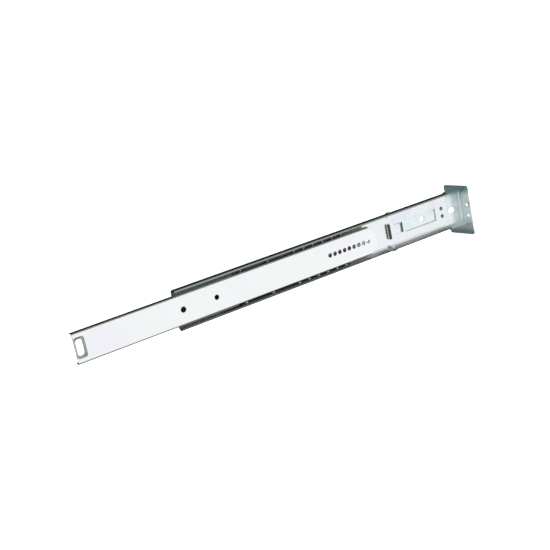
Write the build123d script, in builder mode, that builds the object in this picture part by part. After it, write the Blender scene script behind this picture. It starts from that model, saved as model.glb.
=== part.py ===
from build123d import *
import os

# Centre-mount drawer slide: a cabinet member, a drawer member running inside
# it on two rows of balls, their retainer, and the bracket at the rear end.
# Origin: back face of the rear bracket, level with the cabinet member's
# underside. +X is the way the drawer opens, +Z is up. Millimetres.

# --- cabinet member -------------------------------------------------------
channel_length = 395.0
channel_width = 46.0
channel_sheet = 1.5
race_relief = 1.0          # raceway radius more than the ball's
lip_angle = 62.0           # how far past horizontal the side walls are rolled
channel_start = 26.0       # rear end, measured from the bracket's back face

# --- balls ----------------------------------------------------------------
ball_diameter = 5.0
ball_play = 0.03           # radial clearance to each raceway
ball_pitch = 13.6          # in the close-set group at the rear
lone_ball_pitch = 36.5     # between the balls further forward
close_balls = 6
lone_balls = 2

# --- drawer member --------------------------------------------------------
drawer_shorter = 0.0       # than the channel
drawer_sheet = 1.2
drawer_rise = 4.75         # top face above the ball centres
drawer_bend = 2.3          # outside radius of the top edges
groove_relief = 0.4        # groove radius more than the ball's
groove_depth = 0.5
flange_drop = 0.8          # flange edge below the ball centres
extension = 121.5          # how far it stands out of the channel as modelled
tail_flat = 3.64           # straight part of the tail's end, each side of the middle
tail_length = 10.0         # web beyond the rear ends of the flanges

# --- ball retainer --------------------------------------------------------
retainer_sheet = 0.6
retainer_lift = 0.35       # gap under its web
retainer_bend = 1.1
retainer_rim = 0.5         # flange left above each ball
retainer_end = 6.0         # from the last ball to the rear edge
retainer_nose = 7.0        # from the first ball to the front edge
pocket_play = 0.05
retainer_inset = 41.5      # rear edge, from the drawer member's rear end

# --- rear bracket ---------------------------------------------------------
bracket_sheet = 1.2
bracket_gap = 0.1          # between the bracket's saddle and the channel
bracket_lip_angle = 48.0
saddle_overlap = 2.5       # saddle walls reach this far round the channel
fold_radius = 1.6
plate_margin_left = 14.7   # plate past the channel's left wall
plate_margin_right = 2.0
plate_above = 16.5
plate_below = 26.5
plate_corner = 3.5
leg_width_left = 14.0      # legs of the plate either side of the saddle
leg_width_right = 9.0
leg_corner = 2.5
tongue_width = 22.0
tongue_corner = 4.0
tongue_reach = 73.0        # tongue under the channel, from its rear end
back_screw_radius = 2.1
back_screw_spacing = 13.6
back_screw_height = 10.5

# --- rivets ---------------------------------------------------------------
rivet_radius = 1.3
rivet_play = 0.05
rivet_head_radius = 2.4
rivet_head_height = 0.6
rivet_spacing = 9.6
rivet_setback = 9.2        # from the channel's rear end

# --- holes and slots ------------------------------------------------------
row_hole_radius = 2.6
row_hole_pitch = 7.1
row_hole_count = 9
row_end_margin = 13.2      # last hole of the row to the drawer member's end
access_hole_radius = 3.3
access_hole_1 = 127.1      # from the drawer member's front end
second_hole_radius = 2.9
access_hole_2 = 169.3
front_slot_end = 2.6       # from the slot's end to the dimple's
front_slot_width = 7.5
dimple_side = 3.34         # flat left beside the dimple
dimple_width = 12.0
dimple_depth = 1.7
dimple_corner = 3.0
dimple_wall = 0.9
front_slot_corner = 3.0
dimple_margin = 0.2        # between the dimple's edge and the front end
rail_screw_radius = 2.4
middle_rail_screws = (128.5, 192.5)    # from the channel's rear end
front_rail_screws = (47.8, 5.6)        # from its front end
web_stop_setback = 0.9     # web stop's face, behind the pressed stops
web_stop_width = 18.6
web_stop_height = 4.3
web_stop_opening = 2.6
web_stop_corner = 2.0
tab_root = 86.0
tab_tip = 76.0
tab_gap = 2.7
tab_width = 12.2
tab_lift = 1.3
tab_side_gap = 0.2
window_start = 19.5
window_length = 50.5
window_width = 15.0
window_corner = 0.8
tongue_hole_x = 40.5
tongue_hole_radius = 3.5
adjust_slot_x = -8.8       # behind the channel's rear end
adjust_slot_y = 2.5
adjust_slot_length = 10.4
adjust_slot_radius = 3.2
stop_tab_margin = 4.25     # to the retainer's rear edge when the slide is closed
stop_tab_length = 9.0
stop_tab_height = 2.8
stop_tab_burr = 1.1        # how far the pressed stop stands out of the wall
stop_tab_play = 0.75       # from its prong to the drawer member
front_stop_radius = 1.2
front_stop_inset = 2.2
front_stop_height = 1.0
front_stop_y = 12.0

# --- worked out from the sizes above --------------------------------------
ball_radius = ball_diameter / 2
race_radius = ball_radius + race_relief + channel_sheet    # outside of the rolled walls
race_y = channel_width / 2 - race_radius
race_z = race_radius
ball_y = race_y + race_radius - channel_sheet - ball_radius - ball_play
ball_z = race_z
groove_floor_y = ball_y - ball_radius - ball_play
groove_radius = ball_radius + groove_relief
groove_y = groove_floor_y + groove_radius
drawer_half = groove_floor_y + groove_depth
drawer_top = ball_z + drawer_rise
bend_y = drawer_half - drawer_bend
bend_z = drawer_top - drawer_bend
tail_radius = bend_y - tail_flat
channel_front = channel_start + channel_length
drawer_front = channel_front + extension
drawer_length = channel_length - drawer_shorter
drawer_rear = drawer_front - drawer_length
retainer_rear = drawer_rear + retainer_inset
last_ball_x = retainer_rear + retainer_end
lone_start = last_ball_x + (close_balls - 1) * ball_pitch
ball_xs = [last_ball_x + ball_pitch * n for n in range(close_balls)]
ball_xs += [lone_start + lone_ball_pitch * (n + 1) for n in range(lone_balls)]
ball_xs.reverse()
retainer_front = ball_xs[0] + retainer_nose
retainer_floor = channel_sheet + retainer_lift
retainer_rise = ball_radius + retainer_rim
saddle_radius = race_radius + bracket_gap
floor_top = race_z - saddle_radius
floor_bottom = floor_top - bracket_sheet
plate_width = channel_width + plate_margin_left + plate_margin_right
plate_middle = (plate_margin_left - plate_margin_right) / 2
dimple_length = 2 * (bend_y - dimple_side)
front_slot_length = dimple_length - 2 * front_slot_end
rail_screws = [channel_start + x for x in middle_rail_screws]
rail_screws += [channel_front - x for x in front_rail_screws]
stop_front = retainer_rear - extension / 2 - stop_tab_margin
web_stop_face = stop_front - web_stop_setback
web_stop_top = channel_sheet + web_stop_height
leg_gap = plate_width - leg_width_left - leg_width_right
leg_gap_middle = plate_middle + (leg_width_right - leg_width_left) / 2

os.makedirs("parts", exist_ok=True)


def rolled_channel(outer, inner, lip):
    """Draws a channel section: a flat web, its sides rolled up round raceways."""
    with BuildLine() as outline:
        under = Line((0, race_z - outer), (race_y, race_z - outer))
        rim = CenterArc((race_y, race_z), outer, -90, 90 + lip)
        bore = CenterArc((race_y, race_z), inner, -90, 90 + lip)
        Line(rim @ 1, bore @ 1)
        top = Line(bore @ 0, (0, race_z - inner))
        Line(top @ 1, under @ 0)
    make_face(outline.edges())
    mirror(about=Plane.YZ)


# --- cabinet member: the wide channel, open upwards -----------------------
with BuildPart() as cabinet_member:
    with BuildSketch(Plane.YZ.offset(channel_start)):
        rolled_channel(race_radius, race_radius - channel_sheet, lip_angle)
    extrude(amount=channel_length)

    with BuildSketch(Plane.XY):
        # screw holes, mostly under the drawer member
        with Locations([(x, 0) for x in rail_screws]):
            Circle(rail_screw_radius)
        # opening behind the stop that is bent up from the web
        with Locations((web_stop_face - channel_sheet - web_stop_opening / 2, 0)):
            Rectangle(web_stop_opening, web_stop_width)
        # opening left by the lifted tab
        with Locations((channel_start + (tab_root + tab_tip - tab_gap) / 2, 0)):
            Rectangle(tab_root - tab_tip + tab_gap, tab_width)
        # window over the bracket's tongue
        with Locations((channel_start + window_start + window_length / 2, 0)):
            RectangleRounded(window_length, window_width, window_corner)
        with Locations((channel_start + rivet_setback, 0)):
            with GridLocations(1, rivet_spacing, 1, 2):
                Circle(rivet_radius + rivet_play)
    extrude(amount=channel_sheet, mode=Mode.SUBTRACT)

    # stop bent up across the web, for the retainer when the slide closes
    with BuildSketch(Plane.YZ.offset(web_stop_face - channel_sheet)):
        with Locations((0, web_stop_top / 2)):
            Rectangle(web_stop_width, web_stop_top)
        upper_corners = vertices().group_by(Axis.Y)[-1]
        fillet(upper_corners, radius=web_stop_corner)
    extrude(amount=channel_sheet)

    # tab cut from the web and lifted at its rear edge
    root_x = channel_start + tab_root + tab_side_gap
    tip_x = channel_start + tab_tip
    with BuildSketch(Plane.XZ.offset(tab_side_gap - tab_width / 2)):
        with BuildLine():
            Polyline(
                (root_x, 0),
                (root_x, channel_sheet),
                (tip_x, channel_sheet + tab_lift),
                (tip_x, tab_lift),
                close=True,
            )
        make_face()
    extrude(amount=tab_width - 2 * tab_side_gap)

    # stops pressed through both walls, for the retainer's rear edge
    stop_rear = stop_front - stop_tab_length
    prong_rear = stop_rear + stop_tab_length * 2 / 3
    wall_out = race_y + race_radius
    wall_in = wall_out - channel_sheet
    prong_y = drawer_half + stop_tab_play
    with BuildSketch(Plane.XY.offset(race_z - stop_tab_height / 2)):
        with BuildLine():
            Polyline(
                (stop_front, prong_y),
                (stop_front, wall_out + 0.2 * stop_tab_burr),
                (prong_rear, wall_out + stop_tab_burr),
                (stop_rear, wall_out - 0.4 * stop_tab_burr),
                (stop_rear, wall_in + 0.1 * channel_sheet),
                (prong_rear, wall_in + 0.1 * channel_sheet),
                (prong_rear, prong_y),
                close=True,
            )
        make_face()
        mirror(about=Plane.XZ)
    extrude(amount=stop_tab_height)

    # two stops on the web at the front end, for the retainer's front edge
    with BuildSketch(Plane.XY.offset(channel_sheet)):
        with Locations((channel_front - front_stop_inset, 0)):
            with GridLocations(1, 2 * front_stop_y, 1, 2):
                Circle(front_stop_radius)
    extrude(amount=front_stop_height, taper=12)

# --- drawer member: the narrow channel, open downwards --------------------
with BuildPart() as drawer_member:
    with BuildSketch(Plane.YZ.offset(drawer_rear + tail_length)):
        with BuildLine():
            flat = Line((0, drawer_top), (bend_y, drawer_top))
            bend = CenterArc((bend_y, bend_z), drawer_bend, 90, -90)
            groove_half = (groove_radius**2 - (groove_y - drawer_half) ** 2) ** 0.5
            side = Line(bend @ 1, (drawer_half, ball_z + groove_half))
            edge_y = groove_y - (groove_radius**2 - flange_drop**2) ** 0.5
            ThreePointArc(
                side @ 1,
                (groove_floor_y, ball_z),
                (edge_y, ball_z - flange_drop),
            )
            offset(amount=drawer_sheet, side=Side.RIGHT)
        make_face()
        mirror(about=Plane.YZ)
    extrude(amount=drawer_length - tail_length)

    # rounded tail at the rear, without flanges
    tail_span = 2 * tail_length + tail_radius
    with BuildSketch(Plane.XY.offset(drawer_top - drawer_sheet)):
        with Locations((drawer_rear + tail_span / 2, 0)):
            RectangleRounded(tail_span, 2 * bend_y, tail_radius)
    extrude(amount=drawer_sheet)

    # screw slot at the front in a pressed hollow
    dimple_x = drawer_front - dimple_margin - dimple_width / 2
    hollow_floor = drawer_top - dimple_depth
    with BuildSketch(Plane.XY.offset(drawer_top - drawer_sheet)):
        with Locations((dimple_x, 0)):
            RectangleRounded(dimple_width, dimple_length, dimple_corner)
    with BuildSketch(Plane.XY.offset(hollow_floor - dimple_wall)):
        with Locations((dimple_x, 0)):
            RectangleRounded(
                front_slot_width + 2 * dimple_wall,
                front_slot_length + 2 * dimple_wall,
                front_slot_corner,
            )
    loft()
    with BuildSketch(Plane.XY.offset(drawer_top)):
        with Locations((dimple_x, 0)):
            RectangleRounded(dimple_width, dimple_length, dimple_corner)
    with BuildSketch(Plane.XY.offset(hollow_floor)):
        with Locations((dimple_x, 0)):
            RectangleRounded(front_slot_width, front_slot_length, front_slot_corner)
    loft(mode=Mode.SUBTRACT)
    with BuildSketch(Plane.XY.offset(hollow_floor - 2 * dimple_wall)):
        with Locations((dimple_x, 0)):
            RectangleRounded(front_slot_width, front_slot_length, front_slot_corner)
    extrude(amount=3 * dimple_wall, mode=Mode.SUBTRACT)

    # two access holes, and the row of screw holes near the rear end
    row_middle = drawer_rear + row_end_margin + (row_hole_count - 1) * row_hole_pitch / 2
    with BuildSketch(Plane.XY.offset(drawer_top - drawer_sheet)):
        with Locations((drawer_front - access_hole_1, 0)):
            Circle(access_hole_radius)
        with Locations((drawer_front - access_hole_2, 0)):
            Circle(second_hole_radius)
        with Locations((row_middle, 0)):
            with GridLocations(row_hole_pitch, 1, row_hole_count, 1):
                Circle(row_hole_radius)
    extrude(amount=drawer_sheet, mode=Mode.SUBTRACT)

# --- ball retainer: a strip under the drawer member, edges turned up ------
pocket_radius = ball_radius + pocket_play
flange_out = ball_y + retainer_sheet / 2
with BuildPart() as ball_retainer:
    with BuildSketch(Plane.YZ.offset(retainer_rear)):
        with BuildLine():
            strip = Line((0, retainer_floor), (flange_out - retainer_bend, retainer_floor))
            turn = CenterArc(
                (flange_out - retainer_bend, retainer_floor + retainer_bend),
                retainer_bend,
                -90,
                90,
            )
            Line(turn @ 1, (flange_out, ball_z + retainer_rise))
            offset(amount=retainer_sheet, side=Side.LEFT)
        make_face()
        mirror(about=Plane.YZ)
    extrude(amount=retainer_front - retainer_rear)
    for side_y in (flange_out + retainer_sheet / 2, -ball_y + retainer_sheet):
        with BuildSketch(Plane.XZ.offset(-side_y)):
            with Locations([(x, ball_z) for x in ball_xs]):
                Circle(pocket_radius)
        extrude(amount=2 * retainer_sheet, mode=Mode.SUBTRACT)

# --- balls, numbered from the front ---------------------------------------
balls = {}
for side_name, side_sign in (("left", 1), ("right", -1)):
    for number, x in enumerate(ball_xs, 1):
        with BuildPart() as ball:
            with Locations((x, side_sign * ball_y, ball_z)):
                Sphere(ball_radius)
        balls[f"{side_name}_ball_{number}"] = ball.part

# --- rear bracket: screw plate, saddle round the channel's end, tongue -----
tongue_front = channel_start + tongue_reach
with BuildPart() as rear_bracket:
    with BuildSketch(Plane.YZ):
        with Locations((plate_middle, (plate_above - plate_below) / 2)):
            RectangleRounded(plate_width, plate_above + plate_below, plate_corner)
        # the gap between the plate's two legs, under the saddle
        with Locations((leg_gap_middle, floor_bottom - plate_below)):
            Rectangle(leg_gap, 2 * plate_below, mode=Mode.SUBTRACT)
        leg_tips = vertices().filter_by(lambda v: abs(v.Y + plate_below) < 0.01)
        inner_tips = leg_tips.filter_by(lambda v: abs(v.X - leg_gap_middle) < leg_gap / 2 + 0.01)
        fillet(inner_tips, radius=leg_corner)
    extrude(amount=bracket_sheet)
    with BuildSketch(Plane.YZ.offset(bracket_sheet)):
        rolled_channel(saddle_radius + bracket_sheet, saddle_radius, bracket_lip_angle)
    extrude(amount=channel_start + saddle_overlap - bracket_sheet)
    fold = rear_bracket.edges().filter_by_position(Axis.X, bracket_sheet, bracket_sheet)
    inside = fold.filter_by(lambda e: abs(e.center().Z - floor_top) < 0.05)
    fillet(inside, radius=fold_radius)
    with BuildSketch(Plane.XY.offset(floor_bottom)):
        with Locations((tongue_front / 2, 0)):
            Rectangle(tongue_front, tongue_width)
    extrude(amount=bracket_sheet)
    front_corners = rear_bracket.edges().filter_by(Axis.Z).group_by(Axis.X)[-1]
    fillet(front_corners, radius=tongue_corner)
    with BuildSketch(Plane.XY.offset(floor_bottom)):
        with Locations((channel_start + adjust_slot_x, adjust_slot_y)):
            SlotOverall(adjust_slot_length, 2 * adjust_slot_radius)
        with Locations((channel_start + tongue_hole_x, 0)):
            Circle(tongue_hole_radius)
        with Locations((channel_start + rivet_setback, 0)):
            with GridLocations(1, rivet_spacing, 1, 2):
                Circle(rivet_radius + rivet_play)
    extrude(amount=bracket_sheet, mode=Mode.SUBTRACT)
    with BuildSketch(Plane.YZ):
        with Locations((plate_middle, back_screw_height)):
            with GridLocations(back_screw_spacing, 1, 2, 1):
                Circle(back_screw_radius)
    extrude(amount=bracket_sheet, mode=Mode.SUBTRACT)

# --- rivets joining the bracket's tongue to the channel -------------------
rivets = {}
for side_name, side_sign in (("left", 1), ("right", -1)):
    with BuildPart() as rivet:
        rivet_at = (channel_start + rivet_setback, side_sign * rivet_spacing / 2)
        with BuildSketch(Plane.XY.offset(floor_bottom)):
            with Locations(rivet_at):
                Circle(rivet_radius)
        extrude(amount=channel_sheet - floor_bottom)
        with BuildSketch(Plane.XY.offset(channel_sheet)):
            with Locations(rivet_at):
                Circle(rivet_head_radius)
        extrude(amount=rivet_head_height, taper=30)
        with BuildSketch(Plane.XY.offset(floor_bottom)):
            with Locations(rivet_at):
                Circle(rivet_head_radius)
        extrude(amount=-rivet_head_height, taper=30)
    rivets[f"bracket_rivet_{side_name}"] = rivet.part

# --- labels and files ------------------------------------------------------
pieces = {
    "cabinet_member": cabinet_member.part,
    "drawer_member": drawer_member.part,
    "ball_retainer": ball_retainer.part,
    "rear_bracket": rear_bracket.part,
    **balls,
    **rivets,
}
for name, piece in pieces.items():
    piece.label = name
    export_step(piece, f"parts/{name}.step")
    print(name, len(piece.solids()), round(piece.volume, 1))
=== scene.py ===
import math

import bpy
from mathutils import Matrix, Vector


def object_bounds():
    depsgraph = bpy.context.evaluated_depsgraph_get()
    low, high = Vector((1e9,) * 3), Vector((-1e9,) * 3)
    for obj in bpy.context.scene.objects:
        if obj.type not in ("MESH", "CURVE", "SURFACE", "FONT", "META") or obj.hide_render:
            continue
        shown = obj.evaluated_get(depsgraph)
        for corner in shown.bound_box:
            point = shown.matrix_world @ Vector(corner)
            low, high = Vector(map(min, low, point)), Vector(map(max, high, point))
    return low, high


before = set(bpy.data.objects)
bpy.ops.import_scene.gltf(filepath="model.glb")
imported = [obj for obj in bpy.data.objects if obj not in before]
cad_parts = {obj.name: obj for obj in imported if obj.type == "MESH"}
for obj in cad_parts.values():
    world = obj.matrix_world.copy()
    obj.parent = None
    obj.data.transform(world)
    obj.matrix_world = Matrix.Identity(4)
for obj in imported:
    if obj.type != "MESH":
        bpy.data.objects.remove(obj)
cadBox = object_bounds()
print("loaded", len(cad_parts), "nodes")

mm = 0.001

cameraView = {
    "place": (0.920, -0.297, 1.025),
    "aim": (0.2894, 0.0021, -0.0004),
    "roll": 99.6,      # degrees, so that the slide lies crosswise in the view
    "lens": 72.4,
    "sensor": 36.0,
}

studio = {
    "floorDrop": 0.012,        # below the lowest edge of the bracket
    "floorSize": 14.0,
    "floorColour": "#f7f7f7",
    "floorRoughness": 0.9,
    "floorGlow": 0.96,
    "softBoxPlace": (-0.17, 0.46, 1.16),
    "softBoxSize": (2.24, 1.15),
    "softBoxPower": 6.7,
    "fillPlace": (1.6, -1.9, 0.9),
    "fillAim": (0.3, 0, 0),
    "fillSize": (1.2, 1.2),
    "fillPower": 34.0,
    "skyColour": "#f4f5f6",
    # the room by direction, from 0 straight down to 1 straight up
    "roomColours": (
        (0.27, "#0d150e"),     # dark below
        (0.36, "#545d56"),     # grey skirt round the horizon
        (0.56, "#545d56"),
        (0.7, "#afbcb1"),      # pale band of wall
        (0.95, "#8c9794"),     # mid grey overhead
    ),
}


# sRGB hex to linear RGBA
def colourOf(hexText):
    parts = [int(hexText[i:i + 2], 16) / 255 for i in (1, 3, 5)]
    linear = [c / 12.92 if c <= 0.04045 else ((c + 0.055) / 1.055) ** 2.4 for c in parts]
    return (*linear, 1.0)


# sockets go by name, or by number where a node has several of one name:
# 1 is a Math node's second value, 6 and 7 are the two colours of a Mix node
def addNode(tree, kind, settings=None, links=None, inputs=None):
    node = tree.nodes.new(kind)
    for name, value in (settings or {}).items():
        setattr(node, name, value)
    for socket, value in (inputs or {}).items():
        node.inputs[socket].default_value = value
    for socket, source in (links or {}).items():
        tree.links.new(source, node.inputs[socket])
    return node


def newMaterial(name):
    material = bpy.data.materials.new(name)
    material.use_nodes = True
    material.node_tree.nodes.clear()
    return material, material.node_tree


def aimAt(thing, place, aim, roll=0.0):
    facing = (Vector(aim) - Vector(place)).to_track_quat("-Z", "Y").to_matrix().to_4x4()
    turn = Matrix.Rotation(math.radians(roll), 4, "Z")
    thing.matrix_world = Matrix.Translation(Vector(place)) @ facing @ turn


def makeCamera(view):
    camera = bpy.data.objects.new("camera", bpy.data.cameras.new("camera"))
    bpy.context.scene.collection.objects.link(camera)
    camera.data.lens = view["lens"]
    camera.data.sensor_width = view["sensor"]
    aimAt(camera, view["place"], view["aim"], view["roll"])
    bpy.context.scene.camera = camera


def makeFloor(setup):
    half = setup["floorSize"] / 2
    height = cadBox[0][2] - setup["floorDrop"]
    mesh = bpy.data.meshes.new("floor")
    corners = [(-half, -half, height), (half, -half, height), (half, half, height), (-half, half, height)]
    mesh.from_pydata(corners, [], [(0, 1, 2, 3)])
    floor = bpy.data.objects.new("floor", mesh)
    bpy.context.scene.collection.objects.link(floor)
    floor.visible_glossy = False      # the metal mirrors the dark half of the room instead
    material, tree = newMaterial("paperFloor")
    paper = addNode(tree, "ShaderNodeBsdfPrincipled", inputs={
        "Base Color": colourOf(setup["floorColour"]),
        "Roughness": setup["floorRoughness"],
        "Emission Color": colourOf(setup["floorColour"]),
        "Emission Strength": setup["floorGlow"],
    })
    addNode(tree, "ShaderNodeOutputMaterial", links={"Surface": paper.outputs[0]})
    mesh.materials.append(material)


def addLamp(name, size, power):
    light = bpy.data.lights.new(name, "AREA")
    light.shape = "RECTANGLE"
    light.size, light.size_y = size
    light.energy = power
    lamp = bpy.data.objects.new(name, light)
    bpy.context.scene.collection.objects.link(lamp)
    return lamp


def makeLights(setup):
    # one large soft box over the slide, shining straight down
    softBox = addLamp("softBox", setup["softBoxSize"], setup["softBoxPower"])
    softBox.matrix_world = Matrix.Translation(Vector(setup["softBoxPlace"]))
    # a fill from the front right, which the metal doesn't mirror: it lifts the dull parts without a glare
    fill = addLamp("fill", setup["fillSize"], setup["fillPower"])
    fill.visible_glossy = False
    aimAt(fill, setup["fillPlace"], setup["fillAim"])


def makeRoom(setup):
    world = bpy.data.worlds.new("room")
    world.use_nodes = True
    bpy.context.scene.world = world
    tree = world.node_tree
    tree.nodes.clear()
    coords = addNode(tree, "ShaderNodeTexCoord")
    split = addNode(tree, "ShaderNodeSeparateXYZ", links={"Vector": coords.outputs["Generated"]})
    # from straight down, -1, to straight up, 1
    rise = addNode(tree, "ShaderNodeMapRange", links={"Value": split.outputs["Z"]}, inputs={
        "From Min": -1.0, "From Max": 1.0,
    })
    ramp = addNode(tree, "ShaderNodeValToRGB", links={"Fac": rise.outputs["Result"]})
    stops = ramp.color_ramp.elements
    lowest, *between, highest = setup["roomColours"]
    for stop, (position, colour) in zip(stops, (lowest, highest)):
        stop.position = position
        stop.color = colourOf(colour)
    for position, colour in between:
        stops.new(position).color = colourOf(colour)
    # a pale sky where the camera sees past the floor, the room for everything else
    path = addNode(tree, "ShaderNodeLightPath")
    mix = addNode(tree, "ShaderNodeMix", {"data_type": "RGBA"}, links={
        "Factor": path.outputs["Is Camera Ray"],
        6: ramp.outputs["Color"],
    }, inputs={7: colourOf(setup["skyColour"])})
    back = addNode(tree, "ShaderNodeBackground", links={"Color": mix.outputs[2]})
    addNode(tree, "ShaderNodeOutputWorld", links={"Surface": back.outputs[0]})


bpy.context.scene.view_settings.view_transform = "Standard"
makeCamera(cameraView)
makeFloor(studio)
makeLights(studio)
makeRoom(studio)
print("camera and studio done")

# bright zinc plate on rolled strip: rolling lines along the length, cloudy tint from the passivation
drawerZinc = {
    "colour": "#eae7ea",
    "tint": "#e9e4ec",
    "greenTint": "#ebe9ea",
    "paintedSideShade": "#8c908a",      # painted shade and reflection: dark down the flanges
    "edgeMiddle": 0.0,
    "edgeFrom": 15.3 * mm,
    "edgeTo": 16.4 * mm,
    "metallic": 1.0,
    "roughness": 0.22,
    "roughnessSpread": 0.08,
    "lineWidth": 0.9 * mm,
    "cloudSize": 60 * mm,
    "bump": 0.03,
    "edgeRadius": 0.15 * mm,
}

# the same plating on the deeper channel, with painted shade darkening its rolled walls
cabinetZinc = {
    "colour": "#e6e3e9",
    "tint": "#e0dcec",
    "greenTint": "#e1e3e3",
    # painted shade down the rolled walls
    "paintedSideShade": "#6a726d",
    "edgeMiddle": 0.0,
    "edgeFrom": 21.4 * mm,
    "edgeTo": 22.4 * mm,
    "paintedRaisedShade": "#5c5844",    # painted khaki shade and reflection where stop and tab stand up from the web
    "raisedFrom": 2.4 * mm,
    "raisedTo": 2.7 * mm,
    "raisedHalf": 12.0 * mm,
    "metallic": 0.98,
    "roughness": 0.22,
    "roughnessSpread": 0.1,
    "lineWidth": 1.1 * mm,
    "cloudSize": 34 * mm,
    "bump": 0.04,
    "edgeRadius": 0.25 * mm,
}

# galvanised sheet with a blue passivation: softer, bluer than the channels, faint mottling
galvanised = {
    "colour": "#edf2f5",
    "tint": "#dfebf3",
    "greenTint": "#e6eeee",
    "paintedSideShade": "#8fa9b0",      # painted shade and reflection: darker towards the plate's ends
    "edgeMiddle": 7.0 * mm,
    "edgeFrom": 19.0 * mm,
    "edgeTo": 28.0 * mm,
    "metallic": 0.66,
    "roughness": 0.22,
    "roughnessSpread": 0.08,
    "lineWidth": 2.2 * mm,
    "cloudSize": 16 * mm,
    "bump": 0.025,
    "edgeRadius": 0.25 * mm,
}

# plain cold-rolled strip with an oil film: duller and warmer than the plated channels
retainerStrip = {
    "colour": "#d8d6d0",
    "tint": "#cbc7bc",
    "greenTint": "#d6d6ca",
    "paintedSideShade": "#4e4f45",      # painted shade on the flanges where the balls run: darker there
    "edgeMiddle": 0.0,
    "edgeFrom": 17.2 * mm,
    "edgeTo": 18.0 * mm,
    "metallic": 0.5,
    "roughness": 0.42,
    "roughnessSpread": 0.10,
    "lineWidth": 0.7 * mm,
    "cloudSize": 18 * mm,
    "bump": 0.04,
    "edgeRadius": 0.12 * mm,
}

# cold-headed steel, darker than the plated sheets it holds
rivetSteel = {
    "colour": "#7f7c76",
    "tint": "#6b6862",
    "greenTint": "#85837a",
    # painted shade: darker more than 6 mm off the middle line
    "paintedSideShade": "#5d5a55",
    "edgeMiddle": 0.0,
    "edgeFrom": 6.0 * mm,
    "edgeTo": 7.5 * mm,
    "metallic": 0.9,
    "roughness": 0.4,
    "roughnessSpread": 0.15,
    "lineWidth": 0.6 * mm,
    "cloudSize": 3 * mm,
    "bump": 0.06,
    "edgeRadius": 0.15 * mm,
}

# the grain that all of these share; real rolling lines are finer, drawn coarse enough to show
grain = {
    "lineStretch": 0.012,      # the lines' scale along X, against their scale across
    "lineDetail": 4.0,
    "lineRoughness": 0.6,
    "lineDepth": 0.2 * mm,
    "cloudDetail": 3.0,
    "cloudRoughness": 0.55,
    "cloudDistortion": 0.4,
    "fleckSize": 1.2 * mm,
    "fleckDetail": 2.0,
    "fleckRoughness": 0.5,
    "fleckDepth": 0.1 * mm,
    "greenTo": 0.34,           # the clouds run from greenTint through colour to tint
    "colourAt": 0.52,
    "tintFrom": 0.68,
    "bevelSamples": 4,
}


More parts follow.
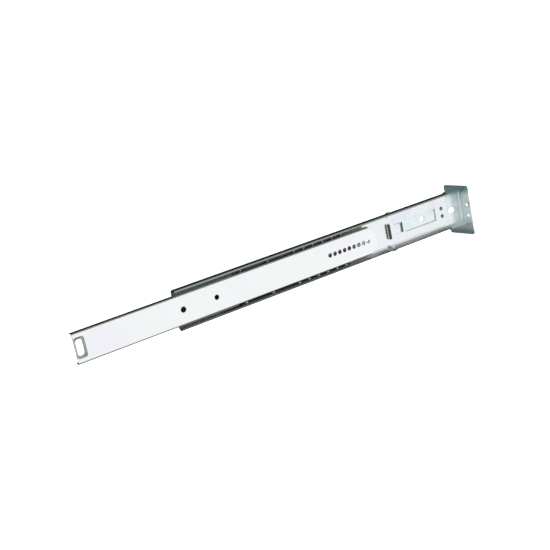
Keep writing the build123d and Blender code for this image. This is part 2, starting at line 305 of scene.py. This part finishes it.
def sheetMetal(name, look):
    material, tree = newMaterial(name)
    coords = addNode(tree, "ShaderNodeTexCoord")
    place = coords.outputs["Object"]
    # rolling lines run along X, so the pattern is stretched that way
    across = 1 / look["lineWidth"]
    stretch = addNode(tree, "ShaderNodeMapping", links={"Vector": place}, inputs={
        "Scale": (grain["lineStretch"] * across, across, across),
    })
    lines = addNode(tree, "ShaderNodeTexNoise", links={"Vector": stretch.outputs[0]}, inputs={
        "Scale": 1.0,
        "Detail": grain["lineDetail"],
        "Roughness": grain["lineRoughness"],
    })
    clouds = addNode(tree, "ShaderNodeTexNoise", links={"Vector": place}, inputs={
        "Scale": 1 / look["cloudSize"],
        "Detail": grain["cloudDetail"],
        "Roughness": grain["cloudRoughness"],
        "Distortion": grain["cloudDistortion"],
    })
    flecks = addNode(tree, "ShaderNodeTexNoise", links={"Vector": place}, inputs={
        "Scale": 1 / grain["fleckSize"],
        "Detail": grain["fleckDetail"],
        "Roughness": grain["fleckRoughness"],
    })
    tint = addNode(tree, "ShaderNodeValToRGB", links={"Fac": clouds.outputs["Fac"]})
    stops = tint.color_ramp.elements
    stops[0].position = grain["greenTo"]
    stops[0].color = colourOf(look["greenTint"])
    stops[1].position = grain["tintFrom"]
    stops[1].color = colourOf(look["tint"])
    stops.new(grain["colourAt"]).color = colourOf(look["colour"])

    # distance from the sheet's middle line picks out its sides, where shade is painted darker
    axes = addNode(tree, "ShaderNodeSeparateXYZ", links={"Vector": place})
    offCentre = addNode(tree, "ShaderNodeMath", {"operation": "SUBTRACT"}, links={
        0: axes.outputs["Y"],
    }, inputs={1: look["edgeMiddle"]})
    distance = addNode(tree, "ShaderNodeMath", {"operation": "ABSOLUTE"}, links={0: offCentre.outputs[0]})
    sideShadeMask = addNode(tree, "ShaderNodeMapRange", {"interpolation_type": "SMOOTHSTEP"}, links={
        "Value": distance.outputs[0],
    }, inputs={"From Min": look["edgeFrom"], "From Max": look["edgeTo"]})
    sheet = addNode(tree, "ShaderNodeMix", {"data_type": "RGBA"}, links={
        "Factor": sideShadeMask.outputs["Result"],
        6: tint.outputs["Color"],
    }, inputs={7: colourOf(look["paintedSideShade"])})

    # painted shade and reflection on what stands up from the web, between the sides
    if "paintedRaisedShade" in look:
        height = addNode(tree, "ShaderNodeMapRange", links={"Value": axes.outputs["Z"]}, inputs={
            "From Min": look["raisedFrom"], "From Max": look["raisedTo"],
        })
        inner = addNode(tree, "ShaderNodeMath", {"operation": "LESS_THAN"}, links={
            0: distance.outputs[0],
        }, inputs={1: look["raisedHalf"]})
        raised = addNode(tree, "ShaderNodeMath", {"operation": "MULTIPLY"}, links={
            0: height.outputs["Result"],
            1: inner.outputs[0],
        })
        sheet = addNode(tree, "ShaderNodeMix", {"data_type": "RGBA"}, links={
            "Factor": raised.outputs[0],
            6: sheet.outputs[2],
        }, inputs={7: colourOf(look["paintedRaisedShade"])})

    rough = addNode(tree, "ShaderNodeMapRange", links={"Value": lines.outputs["Fac"]}, inputs={
        "To Min": look["roughness"] - look["roughnessSpread"] / 2,
        "To Max": look["roughness"] + look["roughnessSpread"] / 2,
    })
    rounded = addNode(tree, "ShaderNodeBevel", {"samples": grain["bevelSamples"]}, inputs={
        "Radius": look["edgeRadius"],
    })
    rolled = addNode(tree, "ShaderNodeBump", links={
        "Height": lines.outputs["Fac"],
        "Normal": rounded.outputs[0],
    }, inputs={"Strength": look["bump"], "Distance": grain["lineDepth"]})
    flecked = addNode(tree, "ShaderNodeBump", links={
        "Height": flecks.outputs["Fac"],
        "Normal": rolled.outputs[0],
    }, inputs={"Strength": look["bump"] / 2, "Distance": grain["fleckDepth"]})
    metal = addNode(tree, "ShaderNodeBsdfPrincipled", inputs={"Metallic": look["metallic"]}, links={
        "Base Color": sheet.outputs[2],
        "Roughness": rough.outputs["Result"],
        "Normal": flecked.outputs["Normal"],
    })
    addNode(tree, "ShaderNodeOutputMaterial", links={"Surface": metal.outputs[0]})
    return material


# hardened bearing steel, ground and polished: bright, with smears that soften its highlights
ballSteel = {
    "colour": "#e2e2e4",
    "smearColour": "#f0f0f0",
    "smearSize": 2.0 * mm,
    "smearDetail": 3.0,
    "metallic": 1.0,
    "roughnessFrom": 0.16,
    "roughnessTo": 0.3,
}


def polishedSteel(name, look):
    material, tree = newMaterial(name)
    coords = addNode(tree, "ShaderNodeTexCoord")
    smears = addNode(tree, "ShaderNodeTexNoise", links={"Vector": coords.outputs["Object"]}, inputs={
        "Scale": 1 / look["smearSize"],
        "Detail": look["smearDetail"],
    })
    rough = addNode(tree, "ShaderNodeMapRange", links={"Value": smears.outputs["Fac"]}, inputs={
        "To Min": look["roughnessFrom"],
        "To Max": look["roughnessTo"],
    })
    tint = addNode(tree, "ShaderNodeValToRGB", links={"Fac": smears.outputs["Fac"]})
    tint.color_ramp.elements[0].color = colourOf(look["colour"])
    tint.color_ramp.elements[1].color = colourOf(look["smearColour"])
    metal = addNode(tree, "ShaderNodeBsdfPrincipled", inputs={"Metallic": look["metallic"]}, links={
        "Base Color": tint.outputs["Color"],
        "Roughness": rough.outputs["Result"],
    })
    addNode(tree, "ShaderNodeOutputMaterial", links={"Surface": metal.outputs[0]})
    return material


drawerMaterial = sheetMetal("zincPlatedDrawerStrip", drawerZinc)
cabinetMaterial = sheetMetal("zincPlatedChannelStrip", cabinetZinc)
bracketMaterial = sheetMetal("galvanisedSheet", galvanised)
retainerMaterial = sheetMetal("coldRolledStrip", retainerStrip)
ballMaterial = polishedSteel("polishedBearingSteel", ballSteel)
rivetMaterial = sheetMetal("coldHeadedSteel", rivetSteel)

# every node that isn't named here is a ball
finishes = {
    "cabinet_member": cabinetMaterial,
    "drawer_member": drawerMaterial,
    "ball_retainer": retainerMaterial,
    "rear_bracket": bracketMaterial,
    "bracket_rivet_left": rivetMaterial,
    "bracket_rivet_right": rivetMaterial,
}
for name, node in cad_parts.items():
    for slot in node.material_slots:
        slot.material = finishes.get(name, ballMaterial)
print("materials done")
